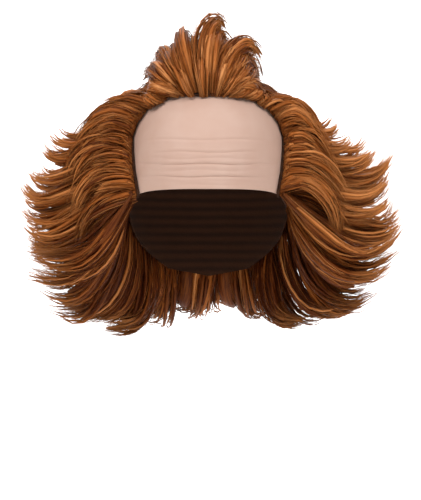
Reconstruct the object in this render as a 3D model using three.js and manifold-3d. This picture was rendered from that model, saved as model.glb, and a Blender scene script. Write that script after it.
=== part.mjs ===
// A bald-fronted costume wig in the form it has on a head: a wrinkled latex forehead, lapped under a
// hollow wig cap, and four groups of swept hair locks, each fused to its own layer of hair roots.
// Millimetres. +Z is up, the front faces -Y, and +X is on the right as the wig is seen from the front.
// The origin is the centre of the head opening, at the brow line.
import * as THREE from "three";
import { mergeVertices } from "three/addons/utils/BufferGeometryUtils.js";
import Module from "manifold-3d";

const wasm = await Module();
wasm.setup();

const { clamp, degToRad, lerp, smoothstep } = THREE.MathUtils;

// Vertices closer than WELD are one, and a place past NEAR_END of the way counts as the end.
const WELD = 1e-3;
const NEAR_END = 0.999;

// The head that the wig fits. Each fullness is the exponent of the dome's outline from that side.
const HEAD_HALF_BREADTH = 79;
const HEAD_HALF_LENGTH = 98;
const CROWN_HEIGHT = 106;
const FRONT_FULLNESS = 3.0;
const SIDE_FULLNESS = 2.3;
const NECK_DEPTH = 130;
const NECK_NARROWING = 0.22;
const FORM_DEPTH = 200;
const FORM_COLUMNS = 24;
const FORM_ROWS = 14;

// Walls, outwards from the head: latex, cap, and the layer of hair roots on the cap.
const LATEX_WALL = 1.4;
const CAP_WALL = 1.6;
const ROOT_WALL = 5;
const PIECE_GAP = 1;
const LATEX_GAP = 1.3;
const CAP_INSIDE = LATEX_WALL + LATEX_GAP;
const CAP_OUTSIDE = CAP_INSIDE + CAP_WALL;
const ROOT_INSIDE = CAP_OUTSIDE + PIECE_GAP;
const ROOT_OUTSIDE = ROOT_INSIDE + ROOT_WALL;

// The bald front: its hairline is a half-width for each height above the brow.
const PANEL_TOP = 85.5;
const PANEL_BOTTOM = -3;
const PANEL_CORNER_DROP = 4.5;
const PANEL_CORNER_UP = 20;
const PANEL_LAP_DEGREES = 6;
const PANEL_LAP_UP = 4;
const OPENING = { columns: 10, rows: 10, floor: -60, inside: -30, outside: 40 };
const PANEL_COLUMNS = 10;
const PLAIN_ROWS = [PANEL_BOTTOM, 2, 56, 63, 70, 76, 81, PANEL_TOP, PANEL_TOP + PANEL_LAP_UP];
const HAIRLINE = table(
  ["up", "half"],
  [
    [-7.5, 64.3],
    [17, 68.8],
    [36, 70.6],
    [50, 71.2],
    [63.5, 66.6],
    [73, 58.7],
    [80, 46.7],
    [84, 36],
    [90, 24],
  ],
);

// Creases moulded into the latex, from the brow upwards. Their ends stand higher than their middle, fully
// so between two heights, and they are level at a share of the way out.
const CREASE_HALF_WIDTH = 2.2;
const CREASE_SAG = 3;
const CREASE_LEVEL = 0.4;
const CREASE_HEIGHTS = { full: 9, fading: 50, gone: 63 };
const CREASES = table(
  ["up", "depth", "span"],
  [
    [9.5, 0.9, 0.95],
    [21.5, 0.9, 0.95],
    [33, 0.7, 0.6],
    [45, 0.5, 0.7],
  ],
);

// The cap's lower edge, from the temple past the ear to the nape.
const CAP_EDGE_SHOWING = 2;
const RIM_REACH = { inner: 30, outer: 190 };
const RIM_FLOOR = -260;
const CAP_RIM = table(
  ["theta", "up"],
  [
    [0, -10],
    [56, -10],
    [74, -24],
    [96, -14],
    [112, -48],
    [130, -64],
    [150, -80],
    [180, -88],
  ],
);

// Where the layer of hair roots is divided: the tuft's block on the crown, and the back's sector.
const TUFT_BLOCK = { halfBreadth: 60, back: 14, floor: 80 };
const BACK_THETA = 146;
const ZONE_REACH = 400;

// A lock is a curved spindle. It swells from its root to its belly and runs out to its tip.
const LOCK_SIDES = 4;
const LOCK_TIP_HALF = 1;
const LOCK_GAP = 0.6;
const LOCK_BELLY = 0.42;
const LOCK_POINT_POWER = 2.4;
const LOCK_SINK = 2;

// How full a family's locks are at their roots and at their tips, as a share of their size, how strongly
// these pull at the curve between them, and how many straight steps make it. In the tuft, lean is how far
// back the locks stand for their rise, and curl how much their tips rise for the way back.
const FAMILIES = {
  waves: { rootShare: 0.6, tipShare: 0.45, pull: 0.42, steps: 4 },
  loop: { rootShare: 0.6, tipShare: 0.4, pull: 0.42, steps: 4 },
  crown: { rootShare: 0.6, tipShare: 0.4, pull: 0.42, steps: 3 },
  sideBack: { rootShare: 0.6, tipShare: 0.3, pull: 0.42, steps: 3 },
  flicks: { rootShare: 0.6, tipShare: 0.15, pull: 0.42, steps: 3 },
  sweeps: { rootShare: 0.6, tipShare: 0.15, pull: 0.52, steps: 3 },
  wefts: { rootShare: 0.6, tipShare: 0.2, pull: 0.42, steps: 3 },
  fan: { rootShare: 0.35, tipShare: 0.7, pull: 0.52, steps: 3, lean: 0.25, curl: -0.3 },
  hook: { rootShare: 0.45, tipShare: 0.4, pull: 0.52, steps: 4, lean: 0.25, curl: 4 },
  behind: { rootShare: 0.5, tipShare: 0.7, pull: 0.52, steps: 3, lean: 1, curl: 0 },
};

// Locks of the two sides. theta and up place the root on the head, round from the front. The tip is
// tipOut from the head's axis. The hair leaves at launch and points at arrival, in degrees above level.
const SIDE_COLUMNS = [
  "theta", "up", "tipTheta", "tipOut", "tipUp", "launch", "arrival", "width", "depth",
];
const CROWN_ROWS = [[112, 102, 114, 103, 48, -28, -72, 16, 92]];
const SIDE_BACK_ROWS = [
  [118, 60, 116, 140, 6, 2, -30, 36, 84],
  [114, 14, 113, 152, -40, -14, -18, 36, 80],
];
// Waves rise from the hairline and curl under, flicks point up and out behind them, and sweeps fall past
// the ear and turn up at the end. The right has a looped lock at the temple.
const LEFT_LOCKS = [
  ...locksOf("waves", SIDE_COLUMNS, [
    [60, 67, 84, 124, 43, 27, -85, 24, 20],
    [69, 53, 86, 130, 30, 34, -80, 24, 20],
    [67, 36, 87, 140, 2, 36, -88, 28, 20],
    [60, 10, 86, 134, -26, 26, -85, 26, 18],
    [57, -5, 84, 131, -58, -8, -80, 22, 16],
  ]),
  ...locksOf("crown", SIDE_COLUMNS, CROWN_ROWS),
  ...locksOf("sideBack", SIDE_COLUMNS, SIDE_BACK_ROWS),
  ...locksOf("flicks", SIDE_COLUMNS, [
    [85, 60, 92, 156, 64, -22, 68, 18, 18],
    [88, 46, 93, 168, 40, -22, 66, 22, 22],
    [90, 32, 94, 180, 23, -22, 68, 26, 26],
    [90, 16, 93, 187, 4, -24, 68, 30, 30],
    [90, 0, 92, 186, -24, -24, 58, 28, 30],
    [92, -8, 91, 183, -52, -40, 36, 34, 30],
  ]),
  ...locksOf("sweeps", SIDE_COLUMNS, [
    [57, -6, 88, 184, -62, -56, 16, 24, 18],
    [72, -16, 88, 183, -80, -66, 20, 34, 22],
    [85, -14, 92, 176, -96, -74, 24, 36, 26],
    [102, -20, 95, 164, -112, -82, 24, 32, 30],
    [117, -36, 100, 146, -126, -84, 20, 34, 34],
    [132, -62, 112, 112, -138, -86, 4, 34, 36],
  ]),
];
const RIGHT_LOCKS = [
  ...locksOf("waves", SIDE_COLUMNS, [
    [59, 71, 84, 114, 42, 34, -66, 24, 20],
    [66, 60, 86, 123, 30, 30, -58, 24, 20],
    [69, 44, 87, 133, 10, 24, -48, 26, 20],
    [65, 26, 87, 138, -14, 20, -58, 28, 20],
    [70, -2, 88, 140, -44, -2, -56, 30, 18],
  ]),
  ...locksOf("loop", SIDE_COLUMNS, [[57, 4, 80, 127, -51, 32, -114, 20, 18]]),
  ...locksOf("crown", SIDE_COLUMNS, CROWN_ROWS),
  ...locksOf("sideBack", SIDE_COLUMNS, SIDE_BACK_ROWS),
  ...locksOf("flicks", SIDE_COLUMNS, [
    [84, 62, 92, 128, 68, -24, 72, 14, 18],
    [87, 52, 93, 147, 56, -30, 70, 18, 20],
    [89, 40, 94, 166, 46, -32, 70, 24, 24],
    [90, 26, 94, 182, 32, -34, 70, 28, 28],
    [90, 12, 93, 184, 8, -34, 66, 30, 30],
    [90, 0, 92, 191, -14, -36, 64, 30, 30],
    [92, -8, 92, 193, -32, -48, 56, 32, 30],
  ]),
  ...locksOf("sweeps", SIDE_COLUMNS, [
    [57, -6, 88, 196, -40, -46, 54, 26, 18],
    [72, -16, 88, 188, -62, -64, 46, 34, 22],
    [85, -14, 91, 180, -86, -74, 34, 36, 26],
    [102, -20, 94, 168, -104, -82, 34, 32, 30],
    [117, -36, 99, 148, -120, -84, 32, 34, 34],
    [132, -62, 112, 106, -130, -80, 16, 34, 36],
  ]),
];

// Locks of the tuft over the forehead: a fan whose tips roll back, two hooked locks that stand over it,
// and fuller locks behind that lie back over the crown. Angles run round from +X as seen from the front.
const TUFT_COLUMNS = ["theta", "up", "tipX", "tipY", "tipUp", "launch", "arrival", "width", "depth"];
const TUFT_LOCKS = [
  ...locksOf("fan", TUFT_COLUMNS, [
    [-25, 89, -70, -14, 90, 168, 176, 24, 24],
    [-21, 90, -61, -4, 110, 150, 130, 26, 26],
    [-16, 91, -41, 4, 127, 128, 110, 30, 26],
    [-9, 92, -19, 10, 137, 108, 94, 32, 26],
    [2, 92, 10, 10, 135, 86, 86, 32, 26],
    [9, 91, 33, 4, 126, 60, 74, 30, 26],
    [14, 90, 50, -4, 110, 36, 50, 26, 26],
    [19, 89, 58, -14, 91, 14, 6, 24, 24],
  ]),
  ...locksOf("hook", TUFT_COLUMNS, [
    [-1, 92, 16, -34, 151, 104, -66, 26, 20],
    [7, 92, 50, -30, 128, 80, -64, 24, 20],
  ]),
  ...locksOf("behind", TUFT_COLUMNS, [
    [-34, 100, -46, 40, 108, 105, 110, 30, 44],
    [0, 102, 0, 56, 116, 90, 90, 30, 50],
    [34, 100, 44, 40, 108, 75, 70, 30, 44],
  ]),
];

// Locks of the back, a row for each weft. count locks are spread evenly about the middle.
const WEFT_COLUMNS = ["count", "up", "tipOut", "tipUp", "launch", "arrival", "width", "depth"];
const BACK_LOCK_STEP = 28;
const BACK_WEFTS = locksOf("wefts", WEFT_COLUMNS, [
  [2, 102, 122, 82, 20, 6, 34, 62],
  [3, 66, 158, 34, 8, 38, 38, 66],
  [4, 24, 174, -14, -14, 40, 40, 70],
  [3, -20, 166, -66, -44, 34, 40, 70],
  [4, -62, 134, -122, -74, 18, 52, 60],
]);

const LATEX = { color: "#dbb8a6", roughness: 0.62, metalness: 0 };
const CAP_NET = { color: "#3b2114", roughness: 0.85, metalness: 0 };
const HAIR = { color: "#87512a", roughness: 0.5, metalness: 0 };

// Rows of numbers as objects with named values.
function table(columns, rows) {
  return rows.map((row) => Object.fromEntries(columns.map((name, i) => [name, row[i]])));
}

// A family's locks, each with its own numbers and its family's.
function locksOf(family, columns, rows) {
  return table(columns, rows).map((row) => ({ ...row, ...FAMILIES[family] }));
}

// A smooth value of one column of a table at a place along another, held level past the ends.
function along(rows, from, to, place) {
  const first = rows[0];
  const last = rows[rows.length - 1];
  if (place <= first[from]) return first[to];
  if (place >= last[from]) return last[to];
  const next = rows.findIndex((row) => row[from] > place);
  const share = (place - rows[next - 1][from]) / (rows[next][from] - rows[next - 1][from]);
  return lerp(rows[next - 1][to], rows[next][to], share);
}

function domeShare(level, fullness) {
  return Math.pow(1 - Math.pow(level, fullness), 1 / fullness);
}

function headBreadth(up) {
  return HEAD_HALF_BREADTH * domeShare(clamp(up / CROWN_HEIGHT, 0, 1), FRONT_FULLNESS);
}

// A point on the head, theta round from the front, offset outwards from the skin.
function headPoint(theta, up, offset) {
  const level = clamp(up / CROWN_HEIGHT, 0, 1);
  const narrowing = 1 - NECK_NARROWING * smoothstep(-up, 0, NECK_DEPTH);
  const breadth = (HEAD_HALF_BREADTH + offset) * narrowing * domeShare(level, FRONT_FULLNESS);
  const length = (HEAD_HALF_LENGTH + offset) * narrowing * domeShare(level, SIDE_FULLNESS);
  return new THREE.Vector3(breadth * Math.sin(theta), -length * Math.cos(theta), up + offset * level);
}

// Half the angle that the bald front takes at a height.
function hairlineTheta(up) {
  return Math.asin(along(HAIRLINE, "up", "half", up) / headBreadth(Math.max(up, 0)));
}

// Moves every vertex of a geometry to where place puts it.
function bend(geometry, place) {
  const position = geometry.getAttribute("position");
  const point = new THREE.Vector3();
  for (let i = 0; i < position.count; i++) {
    const placed = place(point.fromBufferAttribute(position, i));
    position.setXYZ(i, placed.x, placed.y, placed.z);
  }
  return geometry;
}

function solidOf(geometry) {
  const bare = new THREE.BufferGeometry();
  bare.setAttribute("position", geometry.getAttribute("position"));
  bare.setIndex(geometry.index);
  const merged = mergeVertices(bare, WELD);
  const vertProperties = new Float32Array(merged.getAttribute("position").array);
  const triVerts = new Uint32Array(merged.index.array);
  return new wasm.Manifold(new wasm.Mesh({ numProp: 3, vertProperties, triVerts }));
}

function joined(solids) {
  return solids.reduce((whole, solid) => whole.add(solid));
}

// The largest closed body of a solid, without the loose chips that cutting leaves.
function mainBody(solid) {
  return solid.decompose().reduce((most, body) => (body.volume() > most.volume() ? body : most));
}

function meshOf(name, solid, finish) {
  const made = solid.getMesh();
  const geometry = new THREE.BufferGeometry();
  geometry.setAttribute("position", new THREE.BufferAttribute(made.vertProperties, 3));
  geometry.setIndex(new THREE.BufferAttribute(made.triVerts, 1));
  geometry.computeVertexNormals();
  const mesh = new THREE.Mesh(geometry, new THREE.MeshStandardMaterial(finish));
  mesh.name = name;
  return mesh;
}

// The head and neck as one closed solid, grown outwards by offset.
function headForm(offset) {
  const spread = 4 / (FRONT_FULLNESS + SIDE_FULLNESS);
  const sphere = new THREE.SphereGeometry(1, FORM_COLUMNS, FORM_ROWS);
  return solidOf(
    bend(sphere, (p) => {
      if (p.y < -NEAR_END) return new THREE.Vector3(0, 0, -FORM_DEPTH);
      const theta = Math.atan2(p.x, p.z);
      const up = p.y > 0 ? CROWN_HEIGHT * Math.pow(p.y, spread) : FORM_DEPTH * p.y;
      return headPoint(theta, up, offset);
    }),
  );
}

// A block that follows the bald front's outline, edged outwards by setback, to cut through the walls.
function frontOpening(setback) {
  const block = new THREE.BoxGeometry(2, 1, 1, OPENING.columns, OPENING.rows, 1);
  return solidOf(
    bend(block, (p) => {
      const up = lerp(OPENING.floor, PANEL_TOP, p.y + 0.5);
      const theta = p.x * (hairlineTheta(up) + setback / HEAD_HALF_BREADTH);
      const lift = setback * smoothstep(up, 0, PANEL_TOP);
      return headPoint(theta, up + lift, lerp(OPENING.inside, OPENING.outside, p.z + 0.5));
    }),
  );
}

// A ring that takes away everything below the cap's rim, raised by setback.
function belowRim(setback) {
  const profile = [
    new THREE.Vector2(RIM_REACH.inner, 0),
    new THREE.Vector2(RIM_REACH.outer, 0),
    new THREE.Vector2(RIM_REACH.outer, 1),
    new THREE.Vector2(RIM_REACH.inner, 1),
    new THREE.Vector2(RIM_REACH.inner, 0),
  ];
  return solidOf(
    bend(new THREE.LatheGeometry(profile, FORM_COLUMNS), (p) => {
      const theta = Math.abs(Math.atan2(p.x, p.z)) / degToRad(1);
      const top = along(CAP_RIM, "theta", "up", theta) + setback;
      return new THREE.Vector3(p.x, -p.z, p.y > 0.5 ? top : RIM_FLOOR);
    }),
  );
}

// The part of a head-shaped wall that the wig covers, outside the bald front and above the rim.
function coveredWall(inside, outside, setback) {
  const wall = headForm(outside).subtract(headForm(inside));
  return wall.subtract(frontOpening(setback)).subtract(belowRim(setback));
}

function creaseDepth(row, across) {
  const crease = CREASES.find((c) => c.up === row);
  return crease ? crease.depth * Math.max(0, 1 - (across / crease.span) ** 2) : 0;
}

// The latex forehead: a thin wall whose rows run through the creases and under the cap's edge.
function baldFront() {
  const creaseRows = CREASES.flatMap((c) => [c.up - CREASE_HALF_WIDTH, c.up, c.up + CREASE_HALF_WIDTH]);
  const rows = [...PLAIN_ROWS, ...creaseRows].sort((a, b) => a - b);
  const wall = new THREE.BoxGeometry(2, 1, 1, PANEL_COLUMNS, rows.length - 1, 1);
  return solidOf(
    bend(wall, (p) => {
      const row = rows[Math.round((p.y + 0.5) * (rows.length - 1))];
      const starting = smoothstep(row, PANEL_BOTTOM, CREASE_HEIGHTS.full);
      const ending = 1 - smoothstep(row, CREASE_HEIGHTS.fading, CREASE_HEIGHTS.gone);
      const sag = CREASE_SAG * (p.x ** 2 - CREASE_LEVEL) * starting * ending;
      const drop = PANEL_CORNER_DROP * p.x ** 4 * (1 - smoothstep(row, 0, PANEL_CORNER_UP));
      const theta = p.x * (hairlineTheta(row) + degToRad(PANEL_LAP_DEGREES));
      const outwards = p.z > 0 ? LATEX_WALL : 0;
      return headPoint(theta, row + sag - drop, outwards - creaseDepth(row, p.x));
    }),
  );
}

// Share of a lock's full size at a place from its root to its tip.
function lockSwell(row, place) {
  if (place < LOCK_BELLY) return lerp(row.rootShare, 1, Math.sin((place / LOCK_BELLY) * (Math.PI / 2)));
  return lerp(1, row.tipShare, Math.pow((place - LOCK_BELLY) / (1 - LOCK_BELLY), LOCK_POINT_POWER));
}

// The line of a lock: it leaves root at launch, turned from heading to rise, and reaches tip at arrival,
// turned from heading to curl.
function lockLine(root, tip, heading, rise, curl, row) {
  const reach = row.pull * root.distanceTo(tip);
  const towards = (up, degrees) => {
    const along = heading.clone().multiplyScalar(Math.cos(degToRad(degrees)));
    return along.addScaledVector(up, Math.sin(degToRad(degrees)));
  };
  const leaving = root.clone().addScaledVector(towards(rise, row.launch), reach);
  const arriving = tip.clone().addScaledVector(towards(curl, row.arrival), -reach);
  return new THREE.CubicBezierCurve3(root, leaving, arriving, tip);
}

// 1 at a lock's tip, -1 at its root and 0 between.
function endSign(place) {
  return Number(place > NEAR_END) - Number(place < 1 - NEAR_END);
}

// A lock's solid, grown by margin: width lies in the plane of its curve and depth along across.
function lockSolid(line, across, row, margin) {
  const rod = new THREE.CylinderGeometry(1, 1, 1, LOCK_SIDES, row.steps);
  const tipHalf = LOCK_TIP_HALF + margin;
  return solidOf(
    bend(rod, (p) => {
      const place = p.y + 0.5;
      const tangent = line.getTangent(place);
      const wide = across.clone().cross(tangent).normalize();
      const deep = wide.clone().cross(tangent);
      const swell = lockSwell(row, place);
      return line
        .getPoint(place)
        .addScaledVector(wide, p.x * ((swell * row.width) / 2 + tipHalf))
        .addScaledVector(deep, p.z * ((swell * row.depth) / 2 + tipHalf))
        .addScaledVector(tangent, margin * endSign(place));
    }),
  );
}

// One lock of a side or of the back. side is 1 on the right and -1 on the left.
function sweptLock(side, row, margin) {
  const root = headPoint(side * degToRad(row.theta), row.up, ROOT_OUTSIDE - LOCK_SINK);
  const turn = side * degToRad(row.tipTheta);
  const tip = new THREE.Vector3(row.tipOut * Math.sin(turn), -row.tipOut * Math.cos(turn), row.tipUp);
  const heading = new THREE.Vector3(tip.x - root.x, tip.y - root.y, 0).normalize();
  const rise = new THREE.Vector3(0, 0, 1);
  const line = lockLine(root, tip, heading, rise, rise, row);
  return lockSolid(line, heading.clone().cross(rise), row, margin);
}

// One lock of the tuft, which stands up and then curls.
function tuftLock(row, margin) {
  const root = headPoint(degToRad(row.theta), row.up, ROOT_OUTSIDE - LOCK_SINK);
  const tip = new THREE.Vector3(row.tipX, row.tipY, row.tipUp);
  const heading = new THREE.Vector3(1, 0, 0);
  const rise = new THREE.Vector3(0, row.lean, 1).normalize();
  const curl = new THREE.Vector3(0, 1, row.curl).normalize();
  const line = lockLine(root, tip, heading, rise, curl, row);
  return lockSolid(line, heading.clone().cross(rise), row, margin);
}

function backLocks() {
  return BACK_WEFTS.flatMap((weft) =>
    Array.from({ length: weft.count }, (_, i) => {
      const theta = 180 + (i - (weft.count - 1) / 2) * BACK_LOCK_STEP;
      return sweptLock(1, { ...weft, theta, tipTheta: theta }, 0);
    }),
  );
}

// The block of the crown that carries the tuft, grown by margin.
function tuftZone(margin) {
  const breadth = 2 * (TUFT_BLOCK.halfBreadth + margin);
  const length = ZONE_REACH + TUFT_BLOCK.back + margin;
  const box = new THREE.BoxGeometry(breadth, length, ZONE_REACH);
  return solidOf(
    box.translate(0, TUFT_BLOCK.back + margin - length / 2, TUFT_BLOCK.floor - margin + ZONE_REACH / 2),
  );
}

// The sector of one side, from the front round to the back's edge, grown by margin.
function sideZone(side, margin) {
  const back = degToRad(BACK_THETA);
  const edge = new THREE.Vector2(Math.sin(back), -Math.cos(back)).multiplyScalar(ZONE_REACH);
  const shape = new THREE.Shape([
    new THREE.Vector2(side * -margin, 0),
    new THREE.Vector2(side * -margin, -ZONE_REACH),
    new THREE.Vector2(side * ZONE_REACH, -ZONE_REACH),
    new THREE.Vector2(side * edge.x, edge.y + margin),
    new THREE.Vector2(side * -margin, margin),
  ]);
  const prism = new THREE.ExtrudeGeometry(shape, { depth: 2 * ZONE_REACH, bevelEnabled: false });
  return solidOf(prism.translate(0, 0, -ZONE_REACH));
}

function buildWig() {
  const head = headForm(ROOT_INSIDE);
  const roots = coveredWall(ROOT_INSIDE, ROOT_OUTSIDE, CAP_EDGE_SHOWING);
  const fused = (zone, locks) => joined([zone, ...locks]).subtract(head);
  const sideRoots = (side) => roots.intersect(sideZone(side, 0)).subtract(tuftZone(PIECE_GAP));
  const backRoots = roots
    .subtract(tuftZone(PIECE_GAP))
    .subtract(sideZone(1, PIECE_GAP))
    .subtract(sideZone(-1, PIECE_GAP));

  const tuftLocks = (margin) => TUFT_LOCKS.map((row) => tuftLock(row, margin));
  const sideLocks = (side, rows, margin) => rows.map((row) => sweptLock(side, row, margin));
  const rootForm = headForm(ROOT_OUTSIDE + LOCK_GAP);
  const tuftSpace = joined([rootForm.intersect(tuftZone(LOCK_GAP)), ...tuftLocks(LOCK_GAP)]);
  const sideSpace = (side, rows) =>
    joined([rootForm.intersect(sideZone(side, LOCK_GAP)), ...sideLocks(side, rows, LOCK_GAP)]);
  const leftSpace = sideSpace(-1, LEFT_LOCKS);
  const rightSpace = sideSpace(1, RIGHT_LOCKS);

  const tuft = fused(roots.intersect(tuftZone(0)), tuftLocks(0));
  const left = fused(sideRoots(-1), sideLocks(-1, LEFT_LOCKS, 0)).subtract(tuftSpace);
  const right = fused(sideRoots(1), sideLocks(1, RIGHT_LOCKS, 0)).subtract(tuftSpace);
  const back = fused(backRoots, backLocks()).subtract(joined([tuftSpace, leftSpace, rightSpace]));

  const wig = new THREE.Group();
  wig.add(meshOf("bald_front", baldFront(), LATEX));
  wig.add(meshOf("wig_cap", mainBody(coveredWall(CAP_INSIDE, CAP_OUTSIDE, 0)), CAP_NET));
  wig.add(meshOf("hair_tuft", mainBody(tuft), HAIR));
  wig.add(meshOf("hair_left", mainBody(left), HAIR));
  wig.add(meshOf("hair_right", mainBody(right), HAIR));
  wig.add(meshOf("hair_back", mainBody(back), HAIR));
  return wig;
}

export default buildWig();
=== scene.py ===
"""Looks of a bald-fronted costume wig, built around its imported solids.

A creased latex forehead, a dark net cap and combed locks of ginger synthetic hair. Lengths are
millimetres, as in the wig's own tables, and MM turns them into the frame's metres. +Z is up, the
front faces -Y, and the origin is the centre of the head opening at the brow line.
"""
import math

import bpy
import numpy as np
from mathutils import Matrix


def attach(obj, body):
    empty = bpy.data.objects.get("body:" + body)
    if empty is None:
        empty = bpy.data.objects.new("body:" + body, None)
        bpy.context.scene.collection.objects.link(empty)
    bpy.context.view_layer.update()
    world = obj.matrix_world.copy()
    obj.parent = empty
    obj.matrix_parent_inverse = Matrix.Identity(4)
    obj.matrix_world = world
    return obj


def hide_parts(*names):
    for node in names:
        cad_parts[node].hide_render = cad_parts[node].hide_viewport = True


MM = 0.001
RNG = np.random.default_rng(15)

# Divisors are kept at least this far from nought.
TINY = 1e-9

# The head that the wig fits. Each fullness is the exponent of the dome's outline from that side. Its form
# is a ball of FORM_SEGMENTS by FORM_RINGS, drawn out up to the crown and down to FORM_DEPTH. On a ball of
# radius 1, only the lowest point is below FORM_BOTTOM.
HEAD_HALF_BREADTH = 79.0
HEAD_HALF_LENGTH = 98.0
CROWN_HEIGHT = 106.0
FRONT_FULLNESS = 3.0
SIDE_FULLNESS = 2.3
NECK_DEPTH = 130.0
NECK_NARROWING = 0.22
FORM_DEPTH = 200.0
FORM_SEGMENTS = 96
FORM_RINGS = 56
FORM_BOTTOM = -0.9999

# Walls, outwards from the head: latex, cap, and the layer of hair roots on the cap, which keeps
# ROOT_SETBACK behind the cap's edges. The middle lines of the locks start at LOCK_START, single hairs at
# HAIR_START.
LATEX_WALL = 1.4
CAP_INSIDE = 2.7
CAP_OUTSIDE = 4.3
ROOT_INSIDE = 4.7
ROOT_OUTSIDE = 6.2
ROOT_SETBACK = 8.0
LOCK_START = 8.3
HAIR_START = 5.2

# Edges flatter than these, in degrees, are shaded smooth.
WALL_SMOOTHING = 40
LATEX_SMOOTHING = 50
BACKDROP_SMOOTHING = 60

# The bald front, whose lower corners drop, and which laps under the cap's edge. Its hairline is a
# half-width for each height above the brow, widest in row HAIRLINE_WIDEST.
PANEL_TOP = 85.5
PANEL_BOTTOM = -3.0
PANEL_CORNER_DROP = 4.5
PANEL_CORNER_UP = 20.0
PANEL_LAP_DEGREES = 6.0
PANEL_LAP_UP = 4.0
PANEL_COLUMNS = 80
PANEL_ROWS = 110
HAIRLINE = [
    (-7.5, 64.3),
    (17, 68.8),
    (36, 70.6),
    (50, 71.2),
    (63.5, 66.6),
    (73, 58.7),
    (80, 46.7),
    (84, 36),
    (90, 24),
]
HAIRLINE_UP, HAIRLINE_HALF = np.array(HAIRLINE).T
HAIRLINE_WIDEST = 3

# The block that cuts the opening for the bald front through the walls.
OPENING = {"cuts": 35, "floor": -60.0, "inside": -30.0, "outside": 40.0}

# Creases of the latex. across is -1 to 1 from hairline to hairline, and span how much of that a crease
# takes. Its ends stand higher than its middle, it is at up where across squared is CREASE_LEVEL, and it
# wanders up and down CREASE_WAVES radians each way. A low lip runs CREASE_LIP_AWAY half widths beside it.
CREASE_SAG = 3.0
CREASE_LEVEL = 0.4
CREASE_WAVES = 9.0
CREASE_HALF_WIDTH = 1.2
CREASE_LIP = 0.45
CREASE_LIP_AWAY = 1.9
CREASE_COLUMNS = ["up", "depth", "span", "wander", "phase"]
CREASES = [
    [9.5, 0.85, 0.92, 0.5, 0.3],
    [21.5, 0.85, 0.92, 0.6, 1.9],
    [33.0, 0.65, 0.60, 0.7, 4.0],
    [45.0, 0.45, 0.70, 0.6, 5.2],
    [15.5, 0.30, 0.80, 0.8, 2.4],
    [27.0, 0.32, 0.70, 0.9, 0.8],
    [2.0, 0.35, 0.40, 0.4, 3.1],
]

# The cap's lower edge, a height for each angle from the front past the ear to the nape. A ring cuts the
# walls off below it, down to RIM_FLOOR, and what it leaves below RIM_CLEAR is loose.
RIM = [
    (0, -10),
    (56, -10),
    (74, -24),
    (96, -14),
    (112, -48),
    (130, -64),
    (150, -80),
    (180, -88),
]
RIM_THETA, RIM_UP = np.array(RIM).T
RIM_INNER = 30.0
RIM_OUTER = 190.0
RIM_FLOOR = -260.0
RIM_CLEAR = -120.0

# A lock swells from its root to its belly and runs out towards its tip.
LOCK_BELLY = 0.42
LOCK_POINT_POWER = 2.4

# Locks of the sides. theta and up place the root on the head, round from the front. The tip is tip_out
# from the head's axis. The hair leaves at launch and points at arrival, in degrees above level. Both
# sides share the locks of the crown and those behind the wing.
SWEPT_COLUMNS = [
    "theta", "up", "tip_theta", "tip_out", "tip_up", "launch", "arrival", "width", "depth",
]
CROWN_ROWS = [
    [77, 88, 86, 100, 48, -16, -78, 12, 34],
    [92, 101, 96, 95, 44, -42, -80, 12, 60],
    [132, 104, 132, 108, 52, -14, -62, 18, 64],
]
SIDE_BACK_ROWS = [
    [106, 62, 104, 136, 8, 2, -40, 34, 52],
    [132, 56, 130, 142, 4, 2, -20, 36, 56],
    [102, 22, 102, 146, -34, -10, -30, 34, 46],
    [126, 10, 124, 152, -46, -18, -6, 36, 56],
]
LEFT_FAMILIES = {
    "waves": [
        [60, 67, 84, 124, 43, 27, -85, 24, 20],
        [69, 53, 86, 130, 30, 34, -80, 24, 20],
        [67, 36, 87, 140, 2, 36, -88, 28, 20],
        [60, 10, 86, 134, -26, 26, -85, 26, 18],
        [57, -5, 84, 131, -58, -8, -80, 22, 16],
    ],
    "crown": CROWN_ROWS,
    "side_back": SIDE_BACK_ROWS,
    "left_flicks": [
        [85, 60, 92, 156, 64, -22, 68, 18, 18],
        [88, 46, 93, 168, 40, -22, 66, 22, 22],
        [90, 32, 94, 180, 23, -22, 68, 26, 26],
        [90, 16, 93, 187, 4, -24, 68, 30, 30],
        [90, 0, 92, 186, -24, -24, 58, 28, 30],
        [92, -8, 91, 183, -52, -40, 36, 34, 30],
    ],
    "left_sweeps": [
        [57, -6, 88, 184, -62, -56, 16, 24, 18],
        [72, -16, 88, 183, -80, -66, 20, 34, 22],
    ],
    "under_sweeps": [
        [85, -14, 92, 176, -96, -74, 24, 36, 26],
        [102, -20, 95, 164, -112, -82, 24, 32, 30],
        [117, -36, 100, 146, -126, -84, 20, 34, 34],
        [132, -62, 112, 112, -138, -86, 4, 34, 36],
    ],
}
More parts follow.
